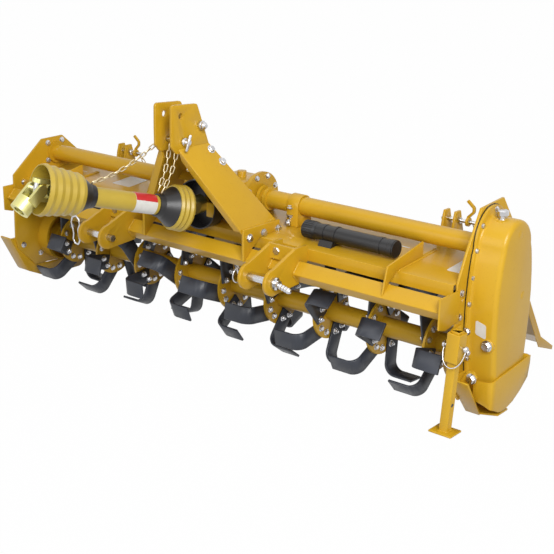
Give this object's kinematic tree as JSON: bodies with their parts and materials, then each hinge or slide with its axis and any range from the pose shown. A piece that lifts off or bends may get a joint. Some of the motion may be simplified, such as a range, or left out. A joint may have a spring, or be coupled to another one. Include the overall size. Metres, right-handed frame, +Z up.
{
  "type": "rotary tiller, six-foot class, three-point hitch, gear-driven",
  "caption": "Tractor-mounted rotary tiller: tined rotor under a hood, A-frame hitch, side gear case, guarded driveline, tailgate and parking stand.",
  "frame": {"origin": "on the floor, at the middle of the machine's footprint", "axes": "+X along the rotor towards the gear-case end, +Y to the rear, +Z up"},
  "size_m": [2.0822, 1.3808, 0.8581],
  "materials": {
    "yellow_paint": "gloss",
    "black_paint": "gloss",
    "guard_yellow": "satin",
    "black_plastic": "satin",
    "zinc": "satin",
    "yoke_plating": "satin"
  },
  "bodies": {
    "frame": {"beam_caps": "yellow_paint", "chain_brackets": "yellow_paint", "cross_tube": "yellow_paint", "drive_tube": "yellow_paint", "driveline_chains": "zinc", "driveline_cover": "guard_yellow", "driveline_shaft": "zinc", "front_beam": "yellow_paint", "gear_case": "yellow_paint", "gearbox": "yellow_paint", "guard_bell_left": "guard_yellow", "guard_bell_right": "guard_yellow", "guard_cone_left": "black_plastic", "guard_cone_right": "black_plastic", "hitch_clevises": "yellow_paint", "hitch_pins": "zinc", "hood": "yellow_paint", "hood_ribs": "yellow_paint", "input_guard": "black_plastic", "joint_crosses": "zinc", "link_plates": "yellow_paint", "manual_canister": "black_plastic", "mast_bases": "yellow_paint", "mast_leg_left": "yellow_paint", "mast_leg_right": "yellow_paint", "mast_pins": "zinc", "mast_tie": "yellow_paint", "rotor_bearings": "yellow_paint", "side_plate_left": "yellow_paint", "side_plate_right": "yellow_paint", "skid_left": "yellow_paint", "skid_right": "yellow_paint", "stand_sleeve": "yellow_paint", "tailgate_chains": "zinc", "tailgate_lugs": "yellow_paint", "tube_clamps": "yellow_paint", "yoke_gearbox": "yoke_plating", "yoke_inner": "yoke_plating", "yoke_outer": "yoke_plating", "yoke_tractor": "yoke_plating"},
    "rotor": {"rotor_shaft": "yellow_paint", "tines_left_hand": "black_paint", "tines_right_hand": "black_paint"},
    "tailgate_door": {"tailgate": "yellow_paint"},
    "stand": {"stand_leg": "yellow_paint"}
  },
  "joints": [
    {"name": "rotor_spin", "type": "hinge", "parent": "frame", "child": "rotor", "pos_m": [-0.02015, 0.14936, 0.18299], "axis": [1, 0, 0], "continuous": true},
    {"name": "tailgate_hinge", "type": "hinge", "parent": "frame", "child": "tailgate_door", "pos_m": [-0.02015, 0.45336, 0.30899], "axis": [1, 0, 0], "range_deg": [0, 50]},
    {"name": "stand_slide", "type": "slide", "parent": "frame", "child": "stand", "axis": [0.0698, 0, 0.9976], "range_m": [0, 0.15]}
  ]
}
